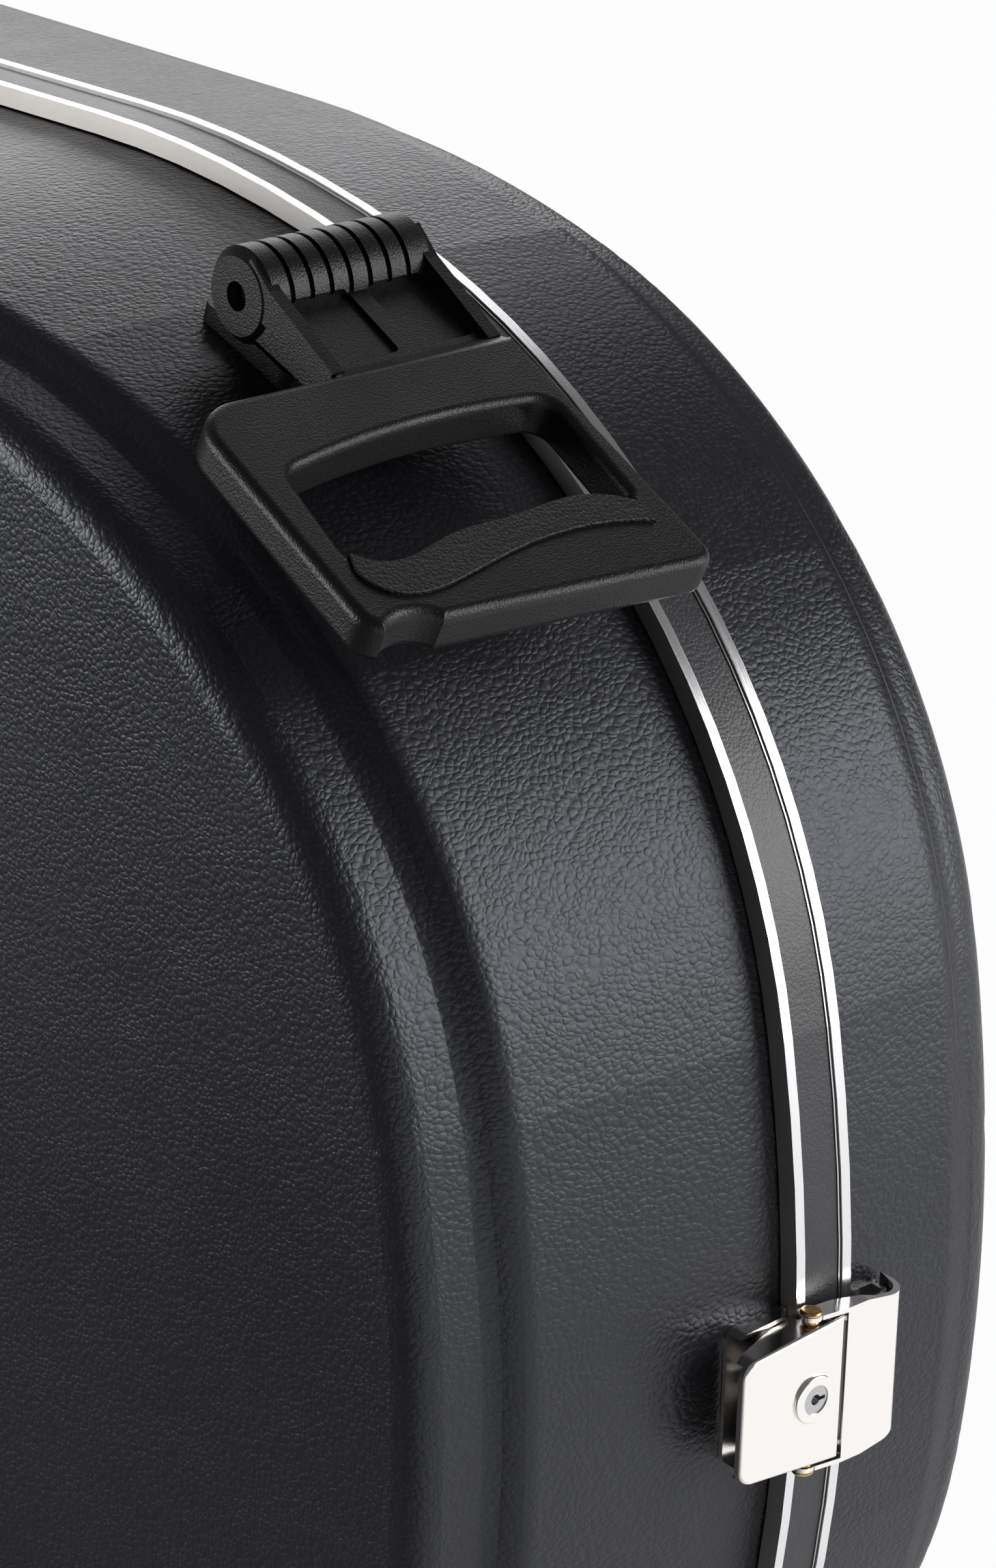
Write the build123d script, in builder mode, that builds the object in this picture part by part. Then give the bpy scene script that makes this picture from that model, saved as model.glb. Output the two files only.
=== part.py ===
from build123d import *
import os
from math import asin, cos, degrees, radians, sin, tan

os.makedirs("parts", exist_ok=True)

# The case stands on its long hinge side, as it is carried.
# X runs from the bell end (-) to the bow end (+), the base shell faces -Y and the lid +Y.
LENGTH = 1072.0
FOOT = 15.0
# Rim outline from the bow end's tip round to the flat top side: radius and turn of each arc.
BOW_ARCS = ((450.0, 10.0), (200.0, 35.0), (250.0, 30.0), (450.0, 15.0))
CORNER_R = 110.0
BELL_R = 1400.0
WALL = 3.5
DRAFT = 2.0
STEP = 6.0
STEP_BEVEL, STEP_R = 9.0, 7.5
# Depths are counted from the seam, at the bow end's tip.
BASE_FACE, BASE_STEP, BASE_SLOPE, BASE_EDGE_R = 131.0, 110.0, 4.45, 10.0
LID_FACE, LID_STEP, LID_SLOPE, LID_EDGE_R = 75.0, 61.0, 2.3, 13.0
LID_BELL, END_EASE = 200.0, 29.0
FLARE_FROM, FLARE_TO = -70.0, -310.0
# Aluminium valance: strip width and height, leatherette band, gap at the seam.
STRIP, PROUD, BAND, WEB = 3.1, 6.0, 12.8, 2.2
LIP = 0.5
SEAM_GAP = 0.3
LEG_OUT, LEG_IN, TONGUE_IN = 4.2, 5.5, 8.3
RIM = 1.8
# Lining and the foam that holds the instrument.
LINING, LINING_GAP, LINING_DROP = 7.0, 0.4, 18.0
BELL_THROAT_R, BRANCH_R, BOW_TUBE_R = 95.0, 62.0, 70.0
# Latches: sheet thickness, shift towards the lid, lever, hasp, pivots as (y, height off the shell).
SHEET = 1.3
LATCH_H, LATCH_SHIFT = 13.8, 1.8
LEVER_FREE, LEVER_END, LEVER_HALF_FREE, LEVER_HALF_END = -44.0, -8.2, 18.0, 21.4
HASP_START, HASP_END, HASP_HALF, HASP_TIP_HALF = -7.2, 19.0, 23.2, 20.0
LEVER_PIVOT = (-10.5, 9.3)
HASP_PIVOT = (-17.2, 9.8)
LEVER_PIN_R, HASP_PIN_R, RUN = 1.3, 1.5, 0.05
DECK_N, DECK_END, EAR_R = 7.4, -8.5, 2.8
LOCK_Y, LOCK_R, LOCK_BODY_R, PLUG_R = -18.5, 7.0, 6.0, 4.2
LOCK_LOW, CAM_LONG, CAM_WIDE = 9.0, 9.5, 3.4
LATCH_DROP = 17.0
TOP_LATCH_X = {"top_bow": 110.0, "top_bell": -250.0}
# Pull handle on the bow shoulder: axle place, slope at rest and its half moulding sizes.
PULL_X, PULL_Z, PULL_Y, PULL_SLOPE = 390.0, 538.0, -49.3, 27.0
BARREL_R, BARREL_LONG, AXLE_R = 13.0, 57.0, 3.0
LUG_WIDE, LUG_AT, LUG_R = 9.0, 15.0, 6.0
# Carrying handle on the top side.
CARRY_X, CARRY_Y, CARRY_RISE, CARRY_SPAN = -70.0, -34.0, 11.0, 150.0
# Wheels at the lower bell corner.
WHEEL_R, WHEEL_WIDE, WHEEL_AXLE_R = 25.0, 20.0, 3.0
WHEEL_Y = {"base": -112.0, "lid": 104.0}
FEET = {"base": ((-360.0, -100.0), (270.0, -100.0)), "lid": ((-360.0, 150.0), (270.0, 50.0))}
HINGE_X = (-330.0, -60.0, 190.0)
HINGE_N, KNUCKLE_R, HINGE_PIN_R, LEAF = 9.6, 3.2, 1.5, 1.5
LEAF_REACH, HINGE_LONG, KNUCKLE_LONG = 46.0, 60.0, 19.7

TIP = LENGTH / 2
HALF = 0.0
turned = 0.0
for arc_radius, arc_turn in BOW_ARCS:
    HALF += arc_radius * (sin(radians(turned + arc_turn)) - sin(radians(turned)))
    turned += arc_turn
MID_Z = FOOT + HALF
BELL_TURN = degrees(asin((HALF - CORNER_R) / (BELL_R - CORNER_R)))
BASE_BELL = BASE_FACE + LENGTH * tan(radians(BASE_SLOPE))
# The base is deepest where the bell end's rounding starts, END_EASE before its end.
SEAM = (BASE_FACE + (LENGTH - END_EASE) * tan(radians(BASE_SLOPE)) - LID_BELL) / 2


def bow_depth():
    """Length along X of the curved bow end, from its tip to the flat top side."""
    deep, angle = 0.0, 0.0
    for radius, turn in BOW_ARCS:
        deep += radius * (cos(radians(angle)) - cos(radians(angle + turn)))
        angle += turn
    return deep


def bell_depth():
    """Length along X of the bell end's corner and crown."""
    edge = radians(90 - BELL_TURN)
    return CORNER_R * sin(edge) + BELL_R * (1 - sin(edge))


STRAIGHT = LENGTH - bow_depth() - bell_depth()
HALF_RIM = [*BOW_ARCS, (0.0, STRAIGHT), (CORNER_R, 90 - BELL_TURN)]
RIM_RUN = [*HALF_RIM, (BELL_R, 2 * BELL_TURN), *HALF_RIM[::-1]]


def rim_plane(side, depth=0.0):
    """Plane parallel to the seam, depth away from it on the base's (-1) or lid's (+1) side."""
    return Plane((0, SEAM + side * depth, MID_Z), x_dir=(1, 0, 0), z_dir=(0, side, 0))


def rim_face(grow, mode=Mode.ADD):
    """Outline of the case at the seam, grown outwards all round, as a face of the open sketch."""
    with BuildLine() as rim:
        at, way = Vector(TIP + grow, 0), Vector(0, 1)
        for radius, amount in RIM_RUN:
            if radius:
                run = JernArc(start=at, tangent=way, radius=radius + grow, arc_size=amount)
            else:
                run = Line(at, at + way * amount)
            at, way = run @ 1, run % 1
    make_face(rim.edges(), mode=mode)


def depth_line(side, face, slope, bell, cut):
    """Sloping face of a shell seen from above, as points (x, depth), cut nearer to the seam."""
    far = TIP + 60
    points = [(far, face - cut - 60 * tan(radians(slope)))]
    if side > 0:
        points.append((FLARE_FROM, face - cut + (TIP - FLARE_FROM) * tan(radians(slope))))
        points.append((FLARE_TO, bell - cut))
        points.append((-far, bell - cut))
    else:
        points.append((-far, bell - cut + 60 * tan(radians(slope))))
    return points


def drafted_body(side, grow, face, slope, bell, cut, edge_r, start=0.0, bevel=0.0):
    """Solid inside the drafted side wall, from the seam to the sloping face, its edge softened."""
    line = depth_line(side, face, slope, bell, cut)
    with BuildPart() as body:
        with BuildSketch(rim_plane(side, start)):
            rim_face(grow - start * tan(radians(DRAFT)))
        extrude(amount=bell + 40, taper=DRAFT)
        with BuildSketch(Plane.XY.offset(-20)):
            with BuildLine():
                world = [(x, SEAM + side * y) for x, y in line]
                if side > 0:
                    top = FilletPolyline(*world, radius=330)
                else:
                    top = Polyline(*world)
                Polyline(top @ 1, (world[-1][0], SEAM - side * 5), (world[0][0], SEAM - side * 5), top @ 0)
            make_face()
        extrude(amount=2 * MID_Z + 60, mode=Mode.INTERSECT)
        if bevel:
            chamfer([e for e in body.edges() if is_face_edge(e, side)], length=bevel)
        if edge_r:
            fillet([e for e in body.edges() if is_face_edge(e, side)], radius=edge_r)
    return body.part


def is_face_edge(edge, side):
    """True for the edges round the sloping face, not those down the wall or across the face."""
    deep = min(side * (v.Y - SEAM) for v in edge.vertices())
    ends = edge.position_at(1) - edge.position_at(0)
    across = abs(ends.X) < 0.01 and abs(ends.Y) < 0.01 and edge.geom_type == GeomType.LINE
    return deep > 30 and not across


def shell_bodies(side, face, step, slope, bell, edge_r, inset):
    """The two drafted bodies of a stepped shell: the wide one up to the step, the raised one."""
    low_bell = bell - (face - step)
    low = drafted_body(side, -inset, step, slope, low_bell, inset, 0, bevel=STEP_BEVEL)
    top = drafted_body(side, -inset - STEP, face, slope, bell, inset, edge_r - inset)
    return low, top


def make_shell(side, face, step, slope, bell, edge_r):
    """Thermoformed shell with its stepped edge, open at the seam."""
    inner = shell_bodies(side, face, step, slope, bell, edge_r, WALL)
    with BuildPart() as full:
        for body in shell_bodies(side, face, step, slope, bell, edge_r, 0):
            add(body)
        if side < 0:
            fillet(full.edges(Select.NEW).filter_by(lambda e: is_face_edge(e, side)), radius=STEP_R)
    with BuildPart() as shell:
        add(full.part)
        for body in inner:
            add(body, mode=Mode.SUBTRACT)
        with BuildSketch(rim_plane(side, -5)):
            Rectangle(2 * LENGTH, 2 * LENGTH)
        extrude(amount=5 + RIM, mode=Mode.SUBTRACT)
    return shell.part, full.part


def ring(side, start, end, outer, inner):
    """Flat hoop that follows the rim between two depths and two amounts of growth."""
    with BuildSketch(rim_plane(side, start)) as hoop:
        rim_face(outer)
        rim_face(inner, mode=Mode.SUBTRACT)
    extrude(hoop.sketch, amount=end - start)


def save(part, name):
    """Labels a finished piece and writes it as one file."""
    part.label = name
    export_step(part, f"parts/{name}.step")
    print(name, round(part.volume / 1000, 1), "cm3", len(part.solids()), "solids")


# Shells, vacuum formed from grained sheet.
base_part, base_full = make_shell(-1, BASE_FACE, BASE_STEP, BASE_SLOPE, BASE_BELL, BASE_EDGE_R)
lid_part, lid_full = make_shell(1, LID_FACE, LID_STEP, LID_SLOPE, LID_BELL, LID_EDGE_R)
save(base_part, "base_shell")
save(lid_part, "lid_shell")

# Double valance: the base's half carries the band and the tongue, the lid's half the rear strip.
FRONT = LIP + BAND + STRIP
with BuildPart() as base_valance:
    ring(-1, 0, FRONT, WEB, 0)
    ring(-1, FRONT - STRIP, FRONT, PROUD, 0)
    ring(-1, 0, LIP, PROUD - 0.6, 0)
    ring(-1, 0, RIM - 0.3, WEB, -LEG_IN)
    ring(-1, 0, FRONT, -LEG_OUT, -LEG_IN)
    ring(-1, -4, 6, -LEG_IN - 0.3, -TONGUE_IN)
    ring(-1, 0, 6, -LEG_OUT, -TONGUE_IN)
save(base_valance.part, "base_valance")

with BuildPart() as valance_insert:
    ring(-1, LIP + 0.1, FRONT - STRIP - 0.1, PROUD - 1.0, WEB)
save(valance_insert.part, "valance_insert")

with BuildPart() as lid_valance:
    ring(1, SEAM_GAP, SEAM_GAP + STRIP, PROUD, 0)
    ring(1, SEAM_GAP, RIM - 0.1, 0.5, -LEG_IN)
    ring(1, SEAM_GAP, 14, -LEG_OUT, -LEG_IN)
save(lid_valance.part, "lid_valance")


def make_lining(side, face, slope, bell, edge_r):
    """Plush-covered foam liner inside a shell, with the room that is left in it."""
    gap = WALL + LINING_GAP
    deep = gap + LINING
    outer = drafted_body(side, -STEP - gap, face, slope, bell, gap, edge_r - gap)
    room = drafted_body(side, -STEP - deep, face, slope, bell, deep, 0)
    with BuildPart() as lining:
        add(outer)
        add(room, mode=Mode.SUBTRACT)
        with BuildSketch(rim_plane(side, -5)):
            Rectangle(2 * LENGTH, 2 * LENGTH)
        extrude(amount=5 + LINING_DROP, mode=Mode.SUBTRACT)
    return lining.part, room


base_liner, base_room = make_lining(-1, BASE_FACE, BASE_SLOPE, BASE_BELL, BASE_EDGE_R)
lid_liner, lid_room = make_lining(1, LID_FACE, LID_SLOPE, LID_BELL, LID_EDGE_R)
save(base_liner, "base_lining")
save(lid_liner, "lid_lining")


def foam_wall(room, side, x_from, x_to, top, notches):
    """Foam rib across the case, seated on the lining, with round notches for the tubes."""
    with BuildPart() as rib:
        add(room)
        with BuildSketch(rim_plane(side, top)):
            with Locations(((x_from + x_to) / 2, 0)):
                Rectangle(x_to - x_from, 2 * HALF)
        extrude(amount=LENGTH, mode=Mode.INTERSECT)
        for depth, rise, radius in notches:
            with BuildSketch(Plane.YZ.offset(x_from - 5)):
                with Locations((SEAM + side * depth, MID_Z + rise)):
                    Circle(radius)
            extrude(amount=x_to - x_from + 10, mode=Mode.SUBTRACT)
    return rib.part


# Foam ribs in the base carry the bell's throat and the branches, a crescent holds the bow.
bell_notches = ((30, 75, BELL_THROAT_R), (40, -120, BRANCH_R))
body_notches = ((20, 90, BOW_TUBE_R), (25, -100, BOW_TUBE_R))
save(foam_wall(base_room, -1, -335, -275, 24, bell_notches), "bell_cradle")
save(foam_wall(base_room, -1, 35, 90, 24, body_notches), "body_cradle")

with BuildPart() as bow_cradle:
    add(base_room)
    with BuildSketch(rim_plane(-1, 24)):
        with Locations((BOW_TUBE_R * 6.2, 0)):
            Rectangle(300, 2 * HALF)
        with Locations((215, 0)):
            Circle(232, mode=Mode.SUBTRACT)
    extrude(amount=LENGTH, mode=Mode.INTERSECT)
save(bow_cradle.part, "bow_cradle")


def lid_cushion(x_at, long, high, depth):
    """Soft block glued into the lid, its free face crowned and its edges rounded."""
    with BuildPart() as block:
        with BuildSketch(rim_plane(1, depth)):
            with Locations((x_at, 0)):
                RectangleRounded(long, high, 22)
        extrude(amount=LENGTH)
        fillet(block.faces().sort_by(Axis.Y)[0].edges(), radius=14)
        add(lid_room, mode=Mode.INTERSECT)
    return block.part


save(lid_cushion(230, 170, 250, 30), "lid_bow_cushion")
save(lid_cushion(-30, 120, 300, 44), "lid_body_cushion")


def hinge_leaf(side, x_at, full, gaps):
    """Stepped strap leaf over the valance with its knuckles, set on the shell it is riveted to."""
    foot = side * LEAF_REACH
    over = -FRONT - 0.4 if side < 0 else SEAM_GAP + STRIP + 0.4
    under = HINGE_N - KNUCKLE_R
    fall = LEAF_REACH * tan(radians(DRAFT))
    edge = over + side * LEAF
    strap = [(foot, -4), (foot, LEAF - fall), (edge, LEAF), (edge, under + LEAF)]
    strap += [(side * 0.6, under + LEAF), (side * 0.6, under), (over, under), (over, -4)]
    across = Plane((x_at, SEAM, MID_Z - HALF), x_dir=(0, 1, 0), z_dir=(1, 0, 0))
    with BuildPart() as leaf:
        with BuildSketch(across):
            Polygon(*[(y, -n) for y, n in strap], align=None)
        extrude(amount=HINGE_LONG / 2, both=True)
        toe = leaf.edges().filter_by(Axis.Z).group_by(Axis.Y)
        fillet(toe[0] if side < 0 else toe[-1], radius=8)
        with BuildSketch(across):
            with Locations((SEAM_GAP / 2, -HINGE_N)):
                Circle(KNUCKLE_R)
        extrude(amount=HINGE_LONG / 2, both=True)
        for x_gap, wide in gaps:
            with Locations((x_at + x_gap, SEAM, MID_Z - HALF - HINGE_N)):
                Box(wide, 3 * KNUCKLE_R, 2.4 * KNUCKLE_R, mode=Mode.SUBTRACT)
        with BuildSketch(across):
            with Locations((SEAM_GAP / 2, -HINGE_N)):
                Circle(HINGE_PIN_R + RUN)
        extrude(amount=HINGE_LONG, both=True, mode=Mode.SUBTRACT)
        add(full, mode=Mode.SUBTRACT)
    return leaf.part


# Three strap hinges along the side the case stands on.
third = HINGE_LONG / 3
outer_gaps = [(-third, third + 0.3), (third, third + 0.3)]
base_leaves = [hinge_leaf(-1, x, base_full, [(0, third)]) for x in HINGE_X]
lid_leaves = [hinge_leaf(1, x, lid_full, outer_gaps) for x in HINGE_X]
pin_at = (0, SEAM + SEAM_GAP / 2, MID_Z - HALF - HINGE_N)
with BuildPart() as pins:
    with BuildSketch(Plane(pin_at, x_dir=(0, 1, 0), z_dir=(1, 0, 0))):
        Circle(HINGE_PIN_R)
    extrude(amount=HINGE_LONG / 2, both=True)
hinge_pins = [pins.part.moved(Location((x, 0, 0))) for x in HINGE_X]
save(Compound(base_leaves), "hinge_base_leaves")
save(Compound(lid_leaves), "hinge_lid_leaves")
save(Compound(hinge_pins), "hinge_pins")

# Latch pieces are drawn once, x away from the base, y off the shell, z along the rim.
FACE = Plane.XZ.offset(-40)


def lever_half(y, inset=0.0):
    """Half width of the lever at a distance from the seam."""
    slope = (LEVER_HALF_END - LEVER_HALF_FREE) / (LEVER_END - LEVER_FREE)
    return LEVER_HALF_FREE + slope * (y - LEVER_FREE) - inset


def lever_plan(inset, free, end):
    """Lever's tapering outline seen from outside."""
    wide, narrow = lever_half(end, inset), lever_half(free, inset)
    Polygon((free, -narrow), (end, -wide), (end, wide), (free, narrow), align=None)


def tapered_block(profile, inset, free, end):
    """Block with a side profile, cut to the lever's tapering plan."""
    with BuildPart() as block:
        with BuildSketch(Plane.XY):
            Polygon(*profile, align=None)
        extrude(amount=30, both=True)
        with BuildSketch(FACE):
            lever_plan(inset, free, end)
        extrude(amount=80, mode=Mode.INTERSECT)
    return block.part


lever_side = [(LEVER_FREE, LATCH_H), (LEVER_FREE, 9.4), (-21.5, 3.4), (-18.8, 3.4), (-18.8, 6.6)]
lever_side += [(LEVER_PIVOT[0], 6.6), (LEVER_END, 9.3), (LEVER_END, LATCH_H)]
lip_y = LEVER_FREE + 1.6
hollow = [(lip_y - 9, 0), (lip_y - 9, 11.4), (lip_y, 11.4), (lip_y, LATCH_H - SHEET)]
hollow += [(0, LATCH_H - SHEET), (0, 0)]

with BuildPart() as lever:
    add(tapered_block(lever_side, 0, LEVER_FREE, LEVER_END + 3))
    with BuildSketch(Plane.XY.offset(-30)):
        with Locations(LEVER_PIVOT):
            Circle(EAR_R)
    extrude(amount=60)
    with BuildSketch(FACE) as plan:
        lever_plan(0, LEVER_FREE, LEVER_END + 3)
        fillet(plan.vertices().group_by(Axis.X)[0], radius=5)
    extrude(amount=80, mode=Mode.INTERSECT)
    fillet(lever.faces().sort_by(Axis.Y)[-1].edges(), radius=1.0)
    add(tapered_block(hollow, SHEET, LEVER_FREE - 9, LEVER_END + 9), mode=Mode.SUBTRACT)
    with BuildSketch(FACE):
        with Locations((LOCK_Y, 0)):
            Circle(LOCK_BODY_R + 0.05)
    extrude(amount=80, mode=Mode.SUBTRACT)
    with BuildSketch(Plane.XY):
        with Locations(LEVER_PIVOT):
            Circle(LEVER_PIN_R + RUN)
        with Locations(HASP_PIVOT):
            Circle(HASP_PIN_R + RUN)
    extrude(amount=30, both=True, mode=Mode.SUBTRACT)

# The hasp's hook comes down behind the strike, its two ears reach back to the lever's rivets.
with BuildPart() as hasp:
    with BuildSketch(Plane.XY):
        with BuildLine():
            outer = FilletPolyline((HASP_START, LATCH_H), (14.5, LATCH_H), (19.2, 1.0), radius=10)
            inner = FilletPolyline((17.51, 0.38), (13.24, 12.0), (HASP_START, 12.0), radius=8.2)
            Line(outer @ 1, inner @ 0)
            Line(inner @ 1, outer @ 0)
        make_face()
    extrude(amount=30, both=True)
    with BuildSketch(Plane.XY.offset(HASP_HALF - SHEET)):
        Polygon(
            (4, 12.4), (HASP_START, LATCH_H), (-15.5, 12.7), (-17.2, 9.8), (-16.4, 6.9),
            (-8, 7.6), (2, 11.2),
            align=None,
        )
        with Locations(HASP_PIVOT):
            Circle(3.0)
    ear = extrude(amount=SHEET)
    mirror(ear, about=Plane.XY)
    with BuildSketch(FACE) as tongue:
        Polygon(
            (-25, -HASP_HALF), (0, -HASP_HALF), (19.6, -HASP_TIP_HALF),
            (19.6, HASP_TIP_HALF), (0, HASP_HALF), (-25, HASP_HALF), align=None,
        )
        fillet(tongue.vertices().group_by(Axis.X)[-1], radius=3.5)
    extrude(amount=80, mode=Mode.INTERSECT)
    with BuildSketch(Plane.XY):
        with Locations(HASP_PIVOT):
            Circle(HASP_PIN_R + RUN)
    extrude(amount=30, both=True, mode=Mode.SUBTRACT)

with BuildPart() as rivets:
    low = lever_half(HASP_PIVOT[0]) - SHEET - 0.6
    with BuildSketch(Plane.XY.offset(low)):
        with Locations(HASP_PIVOT):
            Circle(HASP_PIN_R)
    extrude(amount=HASP_HALF + 0.2 - low)
    with BuildSketch(Plane.XY.offset(lever_half(HASP_PIVOT[0]) + 0.4)):
        with Locations(HASP_PIVOT):
            Circle(2.4)
    extrude(amount=0.7)
    with BuildSketch(Plane.XY.offset(HASP_HALF + 0.2)):
        with Locations(HASP_PIVOT):
            Circle(3.0)
    extrude(amount=1.1)
    fillet(rivets.faces().sort_by(Axis.Z)[-1].edges(), radius=0.9)
    mirror(about=Plane.XY)

with BuildPart() as lever_pin:
    with BuildSketch(Plane.XY):
        with Locations(LEVER_PIVOT):
            Circle(LEVER_PIN_R)
    extrude(amount=21.5, both=True)

# Lock set in the lever: flanged housing, and the plug with keyway and cam that turns in it.
with BuildPart() as housing:
    with BuildSketch(Plane.XZ.offset(-LATCH_H)):
        with Locations((LOCK_Y, 0)):
            Circle(LOCK_R)
    extrude(amount=-1.0)
    fillet(housing.faces().sort_by(Axis.Y)[-1].edges(), radius=0.6)
    with BuildSketch(Plane.XZ.offset(-LATCH_H)):
        with Locations((LOCK_Y, 0)):
            Circle(LOCK_BODY_R)
    extrude(amount=LATCH_H - LOCK_LOW)
    with BuildSketch(FACE):
        with Locations((LOCK_Y, 0)):
            Circle(PLUG_R + RUN)
    extrude(amount=80, mode=Mode.SUBTRACT)

with BuildPart() as plug:
    with BuildSketch(Plane.XZ.offset(-LATCH_H - 0.7)):
        with Locations((LOCK_Y, 0)):
            Circle(PLUG_R)
    extrude(amount=LATCH_H + 0.7 - 8.8)
    with BuildSketch(Plane.XZ.offset(-8.8)):
        with Locations((LOCK_Y, 0)):
            Circle(CAM_WIDE)
        Polygon(
            (LOCK_Y, -CAM_WIDE / 2), (LOCK_Y - CAM_LONG, -CAM_WIDE / 2),
            (LOCK_Y - CAM_LONG, CAM_WIDE / 2), (LOCK_Y, CAM_WIDE / 2), align=None,
        )
    extrude(amount=1.0)
    with BuildSketch(Plane.XZ.offset(-LATCH_H - 2)):
        with Locations((LOCK_Y, 0)):
            Circle(1.5)
        with Locations((LOCK_Y + 1.7, 0)):
            Rectangle(3.4, 1.1)
    extrude(amount=5, mode=Mode.SUBTRACT)


def latch_foot(full, place):
    """Base plate of a latch: nest for the lever, deck over the valance, ears and lock keeper."""
    deck = [(-19.7, 1), (-19.7, DECK_N), (DECK_END, DECK_N), (DECK_END, DECK_N - 1.1)]
    deck += [(-18.6, DECK_N - 1.1), (-18.6, 1)]
    with BuildPart() as foot:
        with BuildSketch(Plane.XY):
            Polygon((-37.5, -5), (-37.5, 0), (-19.7, 0.6), (-19.7, 2), (-18.6, 2), (-18.6, -5), align=None)
        extrude(amount=22, both=True)
        with BuildSketch(Plane.XY):
            Polygon((-37.5, -5), (-37.5, 4.0), (-20.4, 4.6), (-20.4, -5), align=None)
        extrude(amount=22, both=True)
        nest = [(-38, 0), (-37.5, 0), (-19.7, 0.6), (-19.7, 20), (-38, 20)]
        add(tapered_block(nest, -0.35, -45, -15), mode=Mode.SUBTRACT)
        with BuildSketch(FACE) as plan:
            lever_plan(-1.5, -37.5, -18.6)
            fillet(plan.vertices().group_by(Axis.X)[0], radius=4)
        extrude(amount=80, mode=Mode.INTERSECT)
        with BuildSketch(Plane.XY):
            Polygon((-19.7, 0), (-19.7, 2), (-18.6, 2), (-18.6, 0), align=None)
        extrude(amount=18.6, both=True)
        add(tapered_block(deck, SHEET + 0.3, -19.7, DECK_END))
        with BuildSketch(Plane.XY.offset(18.0)):
            with Locations(LEVER_PIVOT):
                Circle(EAR_R)
            Polygon((-13.3, 7), (-13.3, 9.3), (-7.7, 9.3), (-7.7, 7), align=None)
        ear = extrude(amount=SHEET)
        mirror(ear, about=Plane.XY)
        with BuildSketch(Plane.YZ.offset(-19.6)):
            Polygon((7, 10.0), (10.4, 10.0), (10.4, 11.2), (7, 11.2), align=None)
            Polygon((9.3, 7.2), (10.4, 7.2), (10.4, 11.2), (9.3, 11.2), align=None)
        extrude(amount=3.4)
        with BuildSketch(Plane.XY):
            with Locations(LEVER_PIVOT):
                Circle(LEVER_PIN_R + RUN)
        extrude(amount=30, both=True, mode=Mode.SUBTRACT)
    with BuildPart() as seated:
        add(foot.part.moved(place))
        add(full, mode=Mode.SUBTRACT)
    return seated.part


def latch_strike(full, place):
    """Strike on the lid that the hasp's hook pulls on."""
    with BuildPart() as strike:
        with BuildSketch(Plane.XY):
            Polygon(
                (4.6, -4), (4.6, 1.2), (13.9, 0.9), (13.9, 5.2), (15.3, 5.2), (15.3, 0.9),
                (16.2, 0.8), (16.2, -4), align=None,
            )
        extrude(amount=18, both=True)
        fillet(strike.edges().filter_by(Axis.Y).group_by(Axis.X)[0], radius=3)
    with BuildPart() as seated:
        add(strike.part.moved(place))
        add(full, mode=Mode.SUBTRACT)
    return seated.part


lean = asin(LATCH_DROP / BOW_ARCS[0][0])
latch_y = SEAM + LATCH_SHIFT
bow_at = (TIP - BOW_ARCS[0][0] * (1 - cos(lean)), latch_y, MID_Z - LATCH_DROP)
top_z = MID_Z + HALF
LATCHES = {
    "bow": Plane(bow_at, x_dir=(0, 1, 0), z_dir=(-sin(lean), 0, -cos(lean))),
    "bell": Plane((-TIP, latch_y, MID_Z), x_dir=(0, 1, 0), z_dir=(0, 0, 1)),
}
for name, x in TOP_LATCH_X.items():
    LATCHES[name] = Plane((x, latch_y, top_z), x_dir=(0, 1, 0), z_dir=(1, 0, 0))

lever_pins, strikes = [], []
for name, plane in LATCHES.items():
    save(latch_foot(base_full, plane.location), f"{name}_latch_base")
    save(lever.part.moved(plane.location), f"{name}_lever")
    save(hasp.part.moved(plane.location), f"{name}_hasp")
    save(rivets.part.moved(plane.location), f"{name}_hasp_rivets")
    save(housing.part.moved(plane.location), f"{name}_lock_housing")
    save(plug.part.moved(plane.location), f"{name}_lock_plug")
    lever_pins.append(lever_pin.part.moved(plane.location))
    strikes.append(latch_strike(lid_full, plane.location))
save(Compound(lever_pins), "lever_pins")
save(Compound(strikes), "strikes")

# Pull handle, drawn lying flat: x down its slope, y towards the lid, z off the shoulder.
slope = radians(PULL_SLOPE)
AXLE = (PULL_X, SEAM + PULL_Y, PULL_Z)
REST = Plane(AXLE, x_dir=(cos(slope), 0, -sin(slope)), z_dir=(sin(slope), 0, cos(slope)))
LOOP_OUT = [(42, 29.5), (42, -76.5), (126, -78.5), (133, 29.5)]
WAVE = [(109, 21), (101, 3), (102.2, -16), (103, -38), (106.4, -59), (100.5, -68)]
GRIP_LOW = [(103.5, -69), (111, -69.5), (117, -64), (119, -55), (117, -41), (113, -21), (112, 0), (116, 20)]
LOOP_LOW, LOOP_TOP, RIM_TOP_R, RIM_LOW_R = -3.5, 9.0, 2.6, 1.5
HOLE_BACK = ((70, -65), (64.5, -22), (67, 23.5))
PANELS = ((23.7, -11.5), (23.7, 13.2))
CHEEK = [(0, 12.6), (10, 9.4), (40, 6.6), (40, 0), (0, 0)]
BORE_R, BORE_DEEP = 4.0, 4.0
GRIP_BED, GRIP_THICK = 7.4, 2.6
FALL = -90 + PULL_SLOPE
LUG_WAYS = (FALL, FALL - 120)


def around(v):
    """Plane across the handle's axle, x down the slope and y off the shoulder."""
    return Plane.XZ.offset(-v)


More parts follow.
